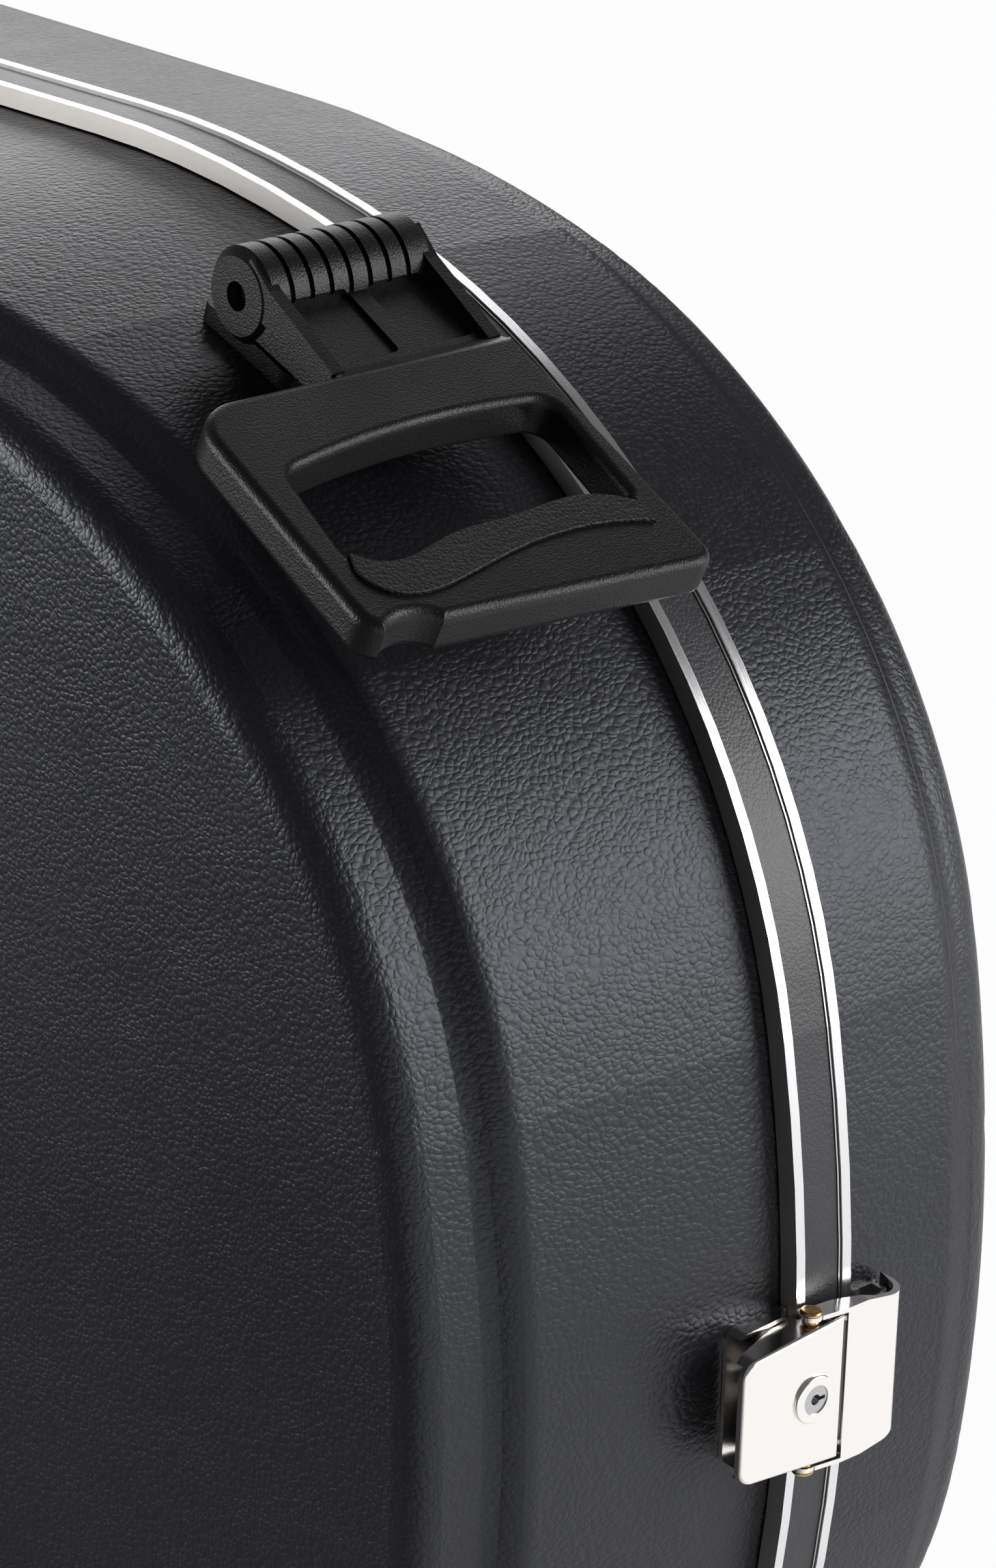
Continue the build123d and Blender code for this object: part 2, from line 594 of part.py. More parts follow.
def grip_outline(back, slack):
    """Wavy outline of the soft grip, its upper edge moved back from the opening's edge."""
    upper = [(x - back, y) for x, y in WAVE]
    upper[0] = (upper[0][0], upper[0][1] + slack)
    lower = [(x + slack, y) for x, y in GRIP_LOW]
    lower[0] = (GRIP_LOW[0][0], GRIP_LOW[0][1] - slack)
    lower[-1] = (lower[-1][0], lower[-1][1] + slack)
    with BuildLine() as edge:
        Spline(*upper)
        Line(upper[-1], lower[0])
        Spline(*lower)
        Line(lower[-1], upper[0])
    make_face(edge.edges())


with BuildPart() as moulding:
    with BuildSketch(Plane.XY.offset(LOOP_LOW)) as ground:
        Polygon(*LOOP_OUT, align=None)
        for spot, size in ((LOOP_OUT[1], 14), (LOOP_OUT[2], 8), (LOOP_OUT[3], 6)):
            fillet(ground.vertices().sort_by_distance(spot)[0], radius=size)
        with Locations((135.2, -66)):
            Circle(12.1, mode=Mode.SUBTRACT)
    extrude(amount=LOOP_TOP - LOOP_LOW)
    with BuildSketch(Plane.XY.offset(LOOP_LOW)) as hole:
        with BuildLine():
            Line(WAVE[-1], HOLE_BACK[0])
            ThreePointArc(*HOLE_BACK)
            Line(HOLE_BACK[-1], WAVE[0])
            Spline(*WAVE)
        make_face()
        for spot, size in ((HOLE_BACK[0], 7), (HOLE_BACK[-1], 6), (WAVE[0], 3), (WAVE[-1], 3)):
            fillet(hole.vertices().sort_by_distance(spot)[0], radius=size)
    extrude(amount=LOOP_TOP - LOOP_LOW, mode=Mode.SUBTRACT)
    for level, rim_r, edge_r in ((-1, RIM_TOP_R, 3), (0, RIM_LOW_R, 3)):
        fillet(moulding.faces().sort_by(Axis.Z)[level].inner_wires()[0].edges(), radius=rim_r)
        fillet(moulding.faces().sort_by(Axis.Z)[level].outer_wire().edges(), radius=edge_r)
    # Barrel round the axle, its seven grooves, and the neck that carries two blank panels.
    with BuildSketch(around(0)):
        Circle(BARREL_R)
    extrude(amount=BARREL_LONG / 2, both=True)
    chamfer(moulding.faces().sort_by(Axis.X)[0].edges().filter_by(GeomType.CIRCLE), length=2.4)
    for i in range(7):
        with BuildSketch(around(-20 + 6.4 * i)):
            Circle(BARREL_R + 1)
            Circle(BARREL_R - 1.2, mode=Mode.SUBTRACT)
        extrude(amount=0.8, both=True, mode=Mode.SUBTRACT)
    with BuildSketch(around(0.5)):
        Polygon(
            (0, -8), (0, 7), (8, 5), (38, 5), (44, 8.6), (50, 8.6), (50, LOOP_LOW), (42, LOOP_LOW),
            align=None,
        )
    extrude(amount=27.5, both=True)
    for way in (-1, 1):
        with BuildSketch(around(way * 28)):
            Polygon(*CHEEK, align=None)
        extrude(amount=way * 4)
    for spot in PANELS:
        with BuildSketch(Plane.XY.offset(3.7)):
            with Locations(spot):
                RectangleRounded(24.6, 19, 2)
        extrude(amount=5, mode=Mode.SUBTRACT)
    # Slots that let the two lugs of the bracket swing inside the barrel.
    fan = [radians(FALL - 20 * i) for i in range(7)]
    for v in (-LUG_AT, LUG_AT):
        with BuildSketch(around(v)):
            Circle(LUG_R + 0.3)
            Polygon((0, 0), *[(22 * cos(a), 22 * sin(a)) for a in fan], align=None)
            for way in LUG_WAYS:
                with Locations(Location((0, 0, 0), (0, 0, way))):
                    Rectangle(22, 2 * LUG_R + 0.6, align=(Align.MIN, Align.CENTER))
        extrude(amount=LUG_WIDE / 2 + 0.3, both=True, mode=Mode.SUBTRACT)
    with BuildSketch(around(-30)):
        Circle(AXLE_R + RUN)
    extrude(amount=-60, mode=Mode.SUBTRACT)
    for way in (-1, 1):
        with BuildSketch(around(way * BARREL_LONG / 2)):
            Circle(BORE_R)
        extrude(amount=way * BORE_DEEP, mode=Mode.SUBTRACT)
    with BuildSketch(Plane.XY.offset(GRIP_BED)):
        grip_outline(4, 0.4)
    extrude(amount=5, mode=Mode.SUBTRACT)

with BuildPart() as grip:
    with BuildSketch(Plane.XY.offset(GRIP_BED)):
        grip_outline(-0.5, 0)
    extrude(amount=GRIP_THICK)

with BuildPart() as axle:
    with BuildSketch(around(BORE_DEEP - BARREL_LONG / 2)):
        Circle(AXLE_R)
    extrude(amount=2 * BORE_DEEP - BARREL_LONG)

save(moulding.part.moved(REST.location), "pull_handle")
save(grip.part.moved(REST.location), "pull_grip")
save(axle.part.moved(REST.location), "pull_axle")

# Bracket under the barrel: a plate that follows the shoulder and two lugs up to the axle.
with BuildPart() as bracket:
    with BuildSketch(rim_plane(-1, 20.6)):
        rim_face(3.2)
    extrude(amount=58)
    lean = radians(69.6)
    with BuildSketch(Plane((384, SEAM + PULL_Y, 522), x_dir=(0, 1, 0), z_dir=(cos(lean), 0, sin(lean)))):
        RectangleRounded(44, 42, 6)
    extrude(amount=25, both=True, mode=Mode.INTERSECT)
    for v in (-LUG_AT, LUG_AT):
        with BuildSketch(Plane.XZ.offset(-SEAM - PULL_Y - v)):
            with Locations((PULL_X, PULL_Z)):
                Circle(LUG_R)
            with Locations((PULL_X, PULL_Z - 20)):
                Rectangle(2 * LUG_R, 40)
        extrude(amount=LUG_WIDE / 2, both=True)
    with BuildSketch(Plane.XZ.offset(-SEAM - PULL_Y)):
        with Locations((PULL_X, PULL_Z)):
            Circle(AXLE_R + RUN)
    extrude(amount=40, both=True, mode=Mode.SUBTRACT)
    add(base_full, mode=Mode.SUBTRACT)
save(bracket.part, "pull_bracket")

# Carrying handle on the top side, folded towards the base.
PIVOT_Z = top_z + CARRY_RISE
with BuildPart() as carry:
    with BuildSketch(Plane((CARRY_X, SEAM + CARRY_Y, PIVOT_Z))):
        with Locations((0, -20.5)):
            RectangleRounded(CARRY_SPAN - 1, 54, 17)
        with Locations((0, -22)):
            RectangleRounded(112, 27, 8, mode=Mode.SUBTRACT)
    extrude(amount=7, both=True)
    flats = carry.faces().sort_by(Axis.Z)
    fillet(flats[-1].edges() + flats[0].edges(), radius=4.5)
    for turn in (-1, 1):
        with BuildSketch(Plane.YZ.offset(CARRY_X + turn * CARRY_SPAN / 2)):
            with Locations((SEAM + CARRY_Y, PIVOT_Z)):
                Circle(2.5 + RUN)
        extrude(amount=-turn * 15, mode=Mode.SUBTRACT)
save(carry.part, "carry_handle")


def carry_mount(turn):
    """End mount of the carrying handle, riveted outside its pivot."""
    inner = CARRY_X + turn * (CARRY_SPAN / 2 + 0.1)
    with BuildPart() as mount:
        with BuildSketch(Plane.YZ.offset(inner)):
            with Locations((SEAM + CARRY_Y, PIVOT_Z)):
                Circle(8)
                Rectangle(16, 14, align=(Align.CENTER, Align.MAX))
        extrude(amount=turn * 10)
        with BuildSketch(Plane.XY.offset(top_z - 5)):
            with Locations((inner + turn * 17, SEAM + CARRY_Y - 2)):
                RectangleRounded(34, 26, 4)
        extrude(amount=7.5)
        with BuildSketch(Plane.YZ.offset(inner)):
            with Locations((SEAM + CARRY_Y, PIVOT_Z)):
                Circle(2.5 + RUN)
        extrude(amount=turn * 8, mode=Mode.SUBTRACT)
        add(base_full, mode=Mode.SUBTRACT)
    return mount.part


def carry_pin(turn):
    """Pin between a mount and the carrying handle."""
    with BuildPart() as pin:
        with BuildSketch(Plane.YZ.offset(CARRY_X + turn * (CARRY_SPAN / 2 + 8))):
            with Locations((SEAM + CARRY_Y, PIVOT_Z)):
                Circle(2.5)
        extrude(amount=-turn * 22)
    return pin.part


save(Compound([carry_mount(-1), carry_mount(1)]), "carry_mounts")
save(Compound([carry_pin(-1), carry_pin(1)]), "carry_pins")

# Wheels set outside the lower bell corner.
corner = (-TIP + bell_depth(), FOOT + CORNER_R)
reach = (CORNER_R + WHEEL_R + 2.5) * sin(radians(45))
WHEEL_AT = (corner[0] - reach, corner[1] - reach)


def wheel_plane(y):
    """Plane across a wheel's axle, x towards the middle of the case's corner."""
    return Plane((WHEEL_AT[0], SEAM + y, WHEEL_AT[1]), x_dir=(1, 0, 1), z_dir=(0, -1, 0))


def wheel_bracket(y, full):
    """Bracket with two cheeks, its saddle shaped to the corner of the shell."""
    half = WHEEL_WIDE / 2
    with BuildPart() as holder:
        for way in (-1, 1):
            with BuildSketch(wheel_plane(y).offset(way * (half + 0.6))):
                Circle(10)
                Polygon((0, -10), (0, 10), (30, 25), (44, 25), (44, -25), (30, -25), (0, -10), align=None)
            extrude(amount=way * 4)
        with BuildSketch(wheel_plane(y)):
            with Locations((36, 0)):
                Rectangle(16, 56)
        extrude(amount=half + 12, both=True)
        with BuildSketch(wheel_plane(y)):
            Circle(WHEEL_AXLE_R + RUN)
        extrude(amount=40, both=True, mode=Mode.SUBTRACT)
        add(full, mode=Mode.SUBTRACT)
    return holder.part


for name, full in (("base", base_full), ("lid", lid_full)):
    y = WHEEL_Y[name]
    with BuildPart() as tyre:
        with BuildSketch(wheel_plane(y)):
            Circle(WHEEL_R)
            Circle(WHEEL_R - 6, mode=Mode.SUBTRACT)
        extrude(amount=WHEEL_WIDE / 2, both=True)
        rounds = tyre.edges().filter_by(GeomType.CIRCLE)
        fillet([e for e in rounds if abs(e.radius - WHEEL_R) < 0.01], radius=2.5)
    with BuildPart() as hub:
        with BuildSketch(wheel_plane(y)):
            Circle(WHEEL_R - 6.05)
        extrude(amount=WHEEL_WIDE / 2 - 0.4, both=True)
        for way in (-1, 1):
            with BuildSketch(wheel_plane(y).offset(way * (WHEEL_WIDE / 2))):
                Circle(WHEEL_R - 9)
                Circle(7, mode=Mode.SUBTRACT)
            extrude(amount=-way * 5, mode=Mode.SUBTRACT)
        with BuildSketch(wheel_plane(y)):
            Circle(WHEEL_AXLE_R + RUN)
        extrude(amount=20, both=True, mode=Mode.SUBTRACT)
    with BuildPart() as spindle:
        with BuildSketch(wheel_plane(y)):
            Circle(WHEEL_AXLE_R)
        extrude(amount=WHEEL_WIDE / 2 + 4.8, both=True)
        for way in (-1, 1):
            with BuildSketch(wheel_plane(y).offset(way * (WHEEL_WIDE / 2 + 4.8))):
                Circle(5)
            extrude(amount=way * 1.8)
    save(tyre.part, f"{name}_tyre")
    save(hub.part, f"{name}_hub")
    save(spindle.part, f"{name}_wheel_axle")
    save(wheel_bracket(y, full), f"{name}_wheel_bracket")


def rubber_foot(x, y, full):
    """Rubber foot shaped to the drafted wall, its lower edge rounded."""
    with BuildPart() as foot:
        with BuildSketch(Plane.XY):
            with Locations((x, SEAM + y)):
                RectangleRounded(56, 24, 9)
        extrude(amount=FOOT + 12)
        fillet(foot.faces().sort_by(Axis.Z)[0].edges(), radius=2.5)
        add(full, mode=Mode.SUBTRACT)
    return foot.part


for name, full in (("base", base_full), ("lid", lid_full)):
    save(Compound([rubber_foot(x, y, full) for x, y in FEET[name]]), f"{name}_feet")
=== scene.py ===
from math import cos, radians, sin, tan

import bmesh
import bpy
from mathutils import Matrix, Vector
from mathutils.bvhtree import BVHTree


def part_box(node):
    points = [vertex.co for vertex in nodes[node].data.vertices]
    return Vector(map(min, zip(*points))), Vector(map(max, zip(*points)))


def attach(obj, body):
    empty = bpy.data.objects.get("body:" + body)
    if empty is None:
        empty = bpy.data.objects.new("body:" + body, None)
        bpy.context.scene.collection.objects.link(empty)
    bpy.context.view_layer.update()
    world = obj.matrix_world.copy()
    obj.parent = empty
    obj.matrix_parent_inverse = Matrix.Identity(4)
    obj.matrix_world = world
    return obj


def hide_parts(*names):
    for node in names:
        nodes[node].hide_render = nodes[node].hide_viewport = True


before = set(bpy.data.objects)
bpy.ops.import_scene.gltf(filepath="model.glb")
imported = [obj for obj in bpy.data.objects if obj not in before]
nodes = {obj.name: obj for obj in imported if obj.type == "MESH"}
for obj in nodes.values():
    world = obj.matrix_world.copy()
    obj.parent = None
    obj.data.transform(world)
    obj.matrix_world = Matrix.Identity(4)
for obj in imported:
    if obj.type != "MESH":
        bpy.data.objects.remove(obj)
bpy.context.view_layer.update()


# Case shells: two vacuum-formed halves of charcoal sheet, embossed with a pebble grain.
# The grain softens where the sheet was drawn over the step, and handling leaves faint dull patches.
def new_material(name, colour, roughness, metallic=0.0):
    """Material with one Principled shader; returns it, its node tree and the shader."""
    made = bpy.data.materials.new(name)
    made.use_nodes = True
    tree = made.node_tree
    shader = next(n for n in tree.nodes if n.type == "BSDF_PRINCIPLED")
    shader.inputs["Base Color"].default_value = (*colour, 1)
    shader.inputs["Roughness"].default_value = roughness
    shader.inputs["Metallic"].default_value = metallic
    made.diffuse_color = (*colour, 1)
    return made, tree, shader


def dress(name, finish):
    """Gives a CAD node its one material."""
    slots = nodes[name].data.materials
    slots.clear()
    slots.append(finish)


def join(tree, start, end):
    """Links an output socket to an input socket."""
    tree.links.new(start, end)


def maths(tree, kind, first, second, clamp=False):
    """Maths node on two sockets or numbers; returns its output."""
    node = tree.nodes.new("ShaderNodeMath")
    node.operation = kind
    node.use_clamp = clamp
    for slot, value in zip(node.inputs, (first, second)):
        if isinstance(value, (int, float)):
            slot.default_value = value
        else:
            join(tree, value, slot)
    return node.outputs[0]


def ramp(tree, fac, stops):
    """Colour ramp from (position, colour) stops; returns its colour output."""
    node = tree.nodes.new("ShaderNodeValToRGB")
    while len(node.color_ramp.elements) < len(stops):
        node.color_ramp.elements.new(0.5)
    for element, (place, shade) in zip(node.color_ramp.elements, stops):
        element.position = place
        element.color = (*shade, 1) if len(shade) == 3 else shade
    join(tree, fac, node.inputs[0])
    return node.outputs[0]


def noise_at(tree, where, scale, detail=3.0, roughness=0.5):
    """Noise texture; returns its node."""
    node = tree.nodes.new("ShaderNodeTexNoise")
    node.inputs["Scale"].default_value = scale
    node.inputs["Detail"].default_value = detail
    node.inputs["Roughness"].default_value = roughness
    join(tree, where, node.inputs["Vector"])
    return node


def new_group(name, takes, gives):
    """Empty shader node group; takes and gives list (socket name, type, start value)."""
    group = bpy.data.node_groups.new(name, "ShaderNodeTree")
    for label, kind, start in takes:
        made = group.interface.new_socket(name=label, in_out="INPUT", socket_type=kind)
        if start is not None:
            made.default_value = start
    for label, kind in gives:
        group.interface.new_socket(name=label, in_out="OUTPUT", socket_type=kind)
    return group, group.nodes.new("NodeGroupInput"), group.nodes.new("NodeGroupOutput")


def use_group(tree, group, **values):
    """Places a group in a material and sets its inputs."""
    node = tree.nodes.new("ShaderNodeGroup")
    node.node_tree = group
    for label, value in values.items():
        slot = node.inputs[label.replace("_", " ")]
        if isinstance(value, (int, float)):
            slot.default_value = value
        else:
            join(tree, value, slot)
    return node


def coords(tree):
    """Object coordinates of the piece."""
    return tree.nodes.new("ShaderNodeTexCoord").outputs["Object"]


def bump(tree, shader, height, distance, strength=1.0):
    """Bump node between a height and the shader's normal."""
    node = tree.nodes.new("ShaderNodeBump")
    node.inputs["Distance"].default_value = distance
    node.inputs["Strength"].default_value = strength
    join(tree, height, node.inputs["Height"])
    join(tree, node.outputs[0], shader.inputs["Normal"])
    return node


def make_pebble_group():
    """Leather-like pebbles: domed cells of uneven size with soft creases, in flowing rows."""
    group, into, out = new_group(
        "pebble_grain",
        [
            ("Vector", "NodeSocketVector", None), ("Cells", "NodeSocketFloat", 600.0),
            ("Wobble", "NodeSocketFloat", 0.0019),
        ],
        [("Height", "NodeSocketFloat"), ("Crease", "NodeSocketFloat")],
    )
    placed = into.outputs["Vector"]
    for scale, share in ((45, 3.0), (300, 0.8)):
        stir = noise_at(group, into.outputs["Vector"], scale, 1.0)
        shift = group.nodes.new("ShaderNodeVectorMath")
        shift.operation = "SUBTRACT"
        shift.inputs[1].default_value = (0.5, 0.5, 0.5)
        join(group, stir.outputs["Color"], shift.inputs[0])
        sway = group.nodes.new("ShaderNodeVectorMath")
        sway.operation = "SCALE"
        join(group, shift.outputs[0], sway.inputs[0])
        join(group, maths(group, "MULTIPLY", into.outputs["Wobble"], share), sway.inputs["Scale"])
        moved = group.nodes.new("ShaderNodeVectorMath")
        moved.operation = "ADD"
        join(group, placed, moved.inputs[0])
        join(group, sway.outputs[0], moved.inputs[1])
        placed = moved.outputs[0]
    heights = []
    for feature in ("SMOOTH_F1", "DISTANCE_TO_EDGE"):
        cells = group.nodes.new("ShaderNodeTexVoronoi")
        cells.feature = feature
        if feature == "SMOOTH_F1":
            cells.inputs["Smoothness"].default_value = 0.35
        join(group, placed, cells.inputs["Vector"])
        join(group, into.outputs["Cells"], cells.inputs["Scale"])
        heights.append(cells.outputs["Distance"])
    dome_stops = [(0.0, (1, 1, 1)), (0.35, (0.86,) * 3), (0.62, (0.4,) * 3), (0.9, (0, 0, 0))]
    crease_stops = [(0.0, (0.3,) * 3), (0.09, (0.5,) * 3), (0.24, (0.85,) * 3), (0.42, (1, 1, 1))]
    dome = ramp(group, heights[0], dome_stops)
    crease = ramp(group, heights[1], crease_stops)
    fine = noise_at(group, into.outputs["Vector"], 1600, 2.0).outputs[0]
    dome_share, crease_share, fine_share = 0.55, 0.4, 0.12
    body = maths(group, "MULTIPLY", dome, dome_share)
    body = maths(group, "ADD", body, maths(group, "MULTIPLY", crease, crease_share))
    body = maths(group, "ADD", body, maths(group, "MULTIPLY", fine, fine_share))
    join(group, body, out.inputs["Height"])
    join(group, crease, out.inputs["Crease"])
    return group


def make_drawn_group():
    """Sheet drawn down from the sloping face at y = Place + Slope * x: its grain is stretched on
    the walls, thinned along the step, and the step's edge and valley are rounded off."""
    lip, stretch = 0.012, 0.75
    round_width, round_height = 0.005, 0.0009
    fade_in = 30.0
    group, into, out = new_group(
        "drawn_sheet",
        [
            ("Vector", "NodeSocketVector", None), ("Place", "NodeSocketFloat", 0.0),
            ("Slope", "NodeSocketFloat", 0.0), ("Edge", "NodeSocketFloat", 0.03),
            ("Valley", "NodeSocketFloat", 0.024), ("From", "NodeSocketFloat", -1.0),
        ],
        [("Vector", "NodeSocketVector"), ("Thinned", "NodeSocketFloat"), ("Round", "NodeSocketFloat")],
    )
    apart = group.nodes.new("ShaderNodeSeparateXYZ")
    join(group, into.outputs["Vector"], apart.inputs[0])
    line = maths(group, "MULTIPLY", apart.outputs["X"], into.outputs["Slope"])
    away = maths(group, "SUBTRACT", apart.outputs["Y"], into.outputs["Place"])
    depth = maths(group, "ABSOLUTE", maths(group, "SUBTRACT", away, line), 0)
    wall = maths(group, "MAXIMUM", maths(group, "SUBTRACT", depth, lip), 0)
    wall = maths(group, "MULTIPLY", wall, stretch)
    together = group.nodes.new("ShaderNodeCombineXYZ")
    join(group, apart.outputs["X"], together.inputs["X"])
    join(group, maths(group, "ADD", maths(group, "MINIMUM", depth, lip), wall), together.inputs["Y"])
    join(group, apart.outputs["Z"], together.inputs["Z"])
    join(group, together.outputs[0], out.inputs["Vector"])
    past = maths(group, "SUBTRACT", apart.outputs["X"], into.outputs["From"])
    past = maths(group, "MULTIPLY", past, fade_in, True)
    near = []
    for bend in ("Edge", "Valley"):
        gap = maths(group, "ABSOLUTE", maths(group, "SUBTRACT", depth, into.outputs[bend]), 0)
        closeness = maths(group, "SUBTRACT", 1.0, maths(group, "MULTIPLY", gap, 1 / round_width), True)
        near.append(maths(group, "MULTIPLY", maths(group, "POWER", closeness, 2.0), past))
    join(group, maths(group, "MAXIMUM", *near), out.inputs["Thinned"])
    rounded = maths(group, "SUBTRACT", near[1], near[0])
    join(group, maths(group, "MULTIPLY", rounded, round_height), out.inputs["Round"])
    return group


def shell_material(name, place, slope, edge, valley, start):
    """Grained sheet of a shell whose face lies at y = place + slope * x, from x = start on."""
    grain_depth, grain_lost = 0.00019, 0.00007
    smoothest, patchiness, step_shine = 0.33, 0.14, -0.04
    made, tree, shader = new_material(name, (0.017, 0.017, 0.019), 0.4)
    shader.inputs["Specular Tint"].default_value = (0.88, 0.91, 1.0, 1)
    where = coords(tree)
    drawn = use_group(
        tree, drawn_sheet, Vector=where, Place=place, Slope=slope, Edge=edge, Valley=valley, From=start
    )
    grain = use_group(tree, pebble, Vector=drawn.outputs["Vector"])
    patches = noise_at(tree, where, 9, 3.0)
    # Painted shade: the base colour is darkest in the grain's creases, with random patches varying how dark.
    dust_and_crease_shade = maths(tree, "MULTIPLY", grain.outputs["Crease"], patches.outputs[0])
    charcoals = [(0.0, (0.007, 0.007, 0.009)), (0.3, (0.012, 0.012, 0.015)), (0.75, (0.018, 0.018, 0.023))]
    join(tree, ramp(tree, dust_and_crease_shade, charcoals), shader.inputs["Base Color"])
    wear = maths(tree, "MULTIPLY", patches.outputs[0], patchiness)
    softer = maths(tree, "ADD", maths(tree, "MULTIPLY", drawn.outputs["Thinned"], step_shine), wear)
    join(tree, maths(tree, "ADD", softer, smoothest), shader.inputs["Roughness"])
    kept = maths(tree, "SUBTRACT", grain_depth, maths(tree, "MULTIPLY", drawn.outputs["Thinned"], grain_lost))
    relief = maths(tree, "MULTIPLY", grain.outputs["Height"], kept)
    bump(tree, shader, maths(tree, "ADD", relief, drawn.outputs["Round"]), 1.0)
    return made


pebble = make_pebble_group()
drawn_sheet = make_drawn_group()
seam_gap = 0.0003
seam_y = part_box("lid_valance")[0].y - seam_gap
tip_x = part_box("base_shell")[1].x
no_valley, whole_length, lid_flare_end = 0.5, -1.0, 0.0
# Shell, its depth at the bow end, slope of its face, places of the step's edge and valley, and
# the x from which the step is rounded.
for side, depth, slope, edge, valley, start in (
    ("base", -0.131, tan(radians(4.45)), 0.030, no_valley, whole_length),
    ("lid", 0.075, -tan(radians(2.3)), 0.023, 0.017, lid_flare_end),
):
    face_at_zero = seam_y + depth - slope * tip_x
    finish = shell_material(f"{side}_grained_sheet", face_at_zero, slope, edge, valley, start)
    dress(f"{side}_shell", finish)


# Valance: extruded aluminium, its two proud strips polished lengthwise, and a dark leatherette
# insert pressed into the channel between them.
def make_draw_line_group():
    """Fine lines left by drawing or brushing, running round the case at one depth."""
    along = 25.0
    group, into, out = new_group(
        "draw_lines",
        [("Vector", "NodeSocketVector", None), ("Lines", "NodeSocketFloat", 4200.0)],
        [("Height", "NodeSocketFloat")],
    )
    apart = group.nodes.new("ShaderNodeSeparateXYZ")
    join(group, into.outputs["Vector"], apart.inputs[0])
    together = group.nodes.new("ShaderNodeCombineXYZ")
    join(group, maths(group, "MULTIPLY", apart.outputs["Y"], into.outputs["Lines"]), together.inputs["Y"])
    for axis in ("X", "Z"):
        join(group, maths(group, "MULTIPLY", apart.outputs[axis], along), together.inputs[axis])
    join(group, noise_at(group, together.outputs[0], 1.0, 2.0).outputs[0], out.inputs["Height"])
    return group


draw_lines = make_draw_line_group()
polished, line_spread, flank_gain, flank_dullness = 0.14, 0.18, 1.4, 0.3
aluminium_finish, tree, shader = new_material("drawn_aluminium", (0.80, 0.80, 0.82), 0.24, 1.0)
lines = use_group(tree, draw_lines, Vector=coords(tree))
facing = tree.nodes.new("ShaderNodeSeparateXYZ")
join(tree, tree.nodes.new("ShaderNodeTexCoord").outputs["Normal"], facing.inputs[0])
flank = maths(tree, "MULTIPLY", maths(tree, "ABSOLUTE", facing.outputs["Y"], 0), flank_gain, True)
rough = maths(tree, "ADD", maths(tree, "MULTIPLY", lines.outputs["Height"], line_spread), polished)
rough = maths(tree, "ADD", rough, maths(tree, "MULTIPLY", flank, flank_dullness))
join(tree, rough, shader.inputs["Roughness"])
# Painted shade: the strips' sides, whose faces turn along y, get a darker warm grey base colour; they are
# also made rougher.
bright_to_flank_shade = [(0.3, (0.82, 0.82, 0.84)), (0.9, (0.56, 0.54, 0.52))]
join(tree, ramp(tree, flank, bright_to_flank_shade), shader.inputs["Base Color"])
bump(tree, shader, lines.outputs["Height"], 0.00004, 0.6)
for name in ("base_valance", "lid_valance"):
    dress(name, aluminium_finish)

insert_finish, tree, shader = new_material("valance_leatherette", (0.035, 0.035, 0.04), 0.38)
where = coords(tree)
creases = use_group(tree, pebble, Vector=where, Cells=900.0, Wobble=0.0011)
folds = noise_at(tree, where, 60, 4.0, 0.6)
height = maths(tree, "ADD", maths(tree, "MULTIPLY", creases.outputs["Height"], 0.5), folds.outputs[0])
bump(tree, shader, height, 0.00018, 0.8)
dark_greys = [(0.3, (0.030, 0.030, 0.035)), (0.7, (0.042, 0.042, 0.048))]
join(tree, ramp(tree, folds.outputs[0], dark_greys), shader.inputs["Base Color"])
dress("valance_insert", insert_finish)


# Draw latches: pressed steel with bright nickel plate, faintly scratched by keys and fingers.
# The hasp turns on brass shoulder rivets, and the key lock's plug is turned steel.
def make_scratch_group():
    """Hair scratches and a cloudy wipe pattern."""
    group, into, out = new_group(
        "handling_scratches",
        [("Vector", "NodeSocketVector", None), ("Size", "NodeSocketFloat", 60.0)],
        [("Height", "NodeSocketFloat"), ("Cloud", "NodeSocketFloat")],
    )
    bent = noise_at(group, into.outputs["Vector"], 14, 2.0)
    streak = group.nodes.new("ShaderNodeTexWave")
    streak.wave_type = "BANDS"
    streak.bands_direction = "DIAGONAL"
    streak.inputs["Distortion"].default_value = 9
    streak.inputs["Detail"].default_value = 3
    streak.inputs["Detail Scale"].default_value = 2.5
    join(group, into.outputs["Vector"], streak.inputs["Vector"])
    join(group, into.outputs["Size"], streak.inputs["Scale"])
    thin = ramp(group, streak.outputs["Fac"], [(0.0, (0, 0, 0)), (0.02, (1, 1, 1)), (1.0, (1, 1, 1))])
    join(group, thin, out.inputs["Height"])
    join(group, bent.outputs[0], out.inputs["Cloud"])
    return group


scratches = make_scratch_group()
nickel_finish, tree, shader = new_material("nickel_plate", (0.97, 0.945, 0.915), 0.16, 1.0)
where = coords(tree)
marks = use_group(tree, scratches, Vector=where)
bright, wipe_spread, scratch_share = 0.1, 0.16, 0.3
wiped = maths(tree, "ADD", maths(tree, "MULTIPLY", marks.outputs["Cloud"], wipe_spread), bright)
join(tree, wiped, shader.inputs["Roughness"])
orange_peel = noise_at(tree, where, 420, 2.0).outputs[0]
scratched = maths(tree, "MULTIPLY", marks.outputs["Height"], scratch_share)
bump(tree, shader, maths(tree, "ADD", orange_peel, scratched), 0.00003, 0.5)

brass_finish, tree, shader = new_material("rivet_brass", (0.72, 0.50, 0.20), 0.25, 1.0)
tarnish = noise_at(tree, coords(tree), 900, 3.0).outputs[0]
brown_to_brass = [(0.35, (0.50, 0.30, 0.12)), (0.65, (0.80, 0.58, 0.25))]
join(tree, ramp(tree, tarnish, brown_to_brass), shader.inputs["Base Color"])

steel_finish, tree, shader = new_material("turned_steel", (0.55, 0.55, 0.56), 0.3, 1.0)
turning = noise_at(tree, coords(tree), 2600, 1.0).outputs[0]
bump(tree, shader, turning, 0.00004, 0.5)

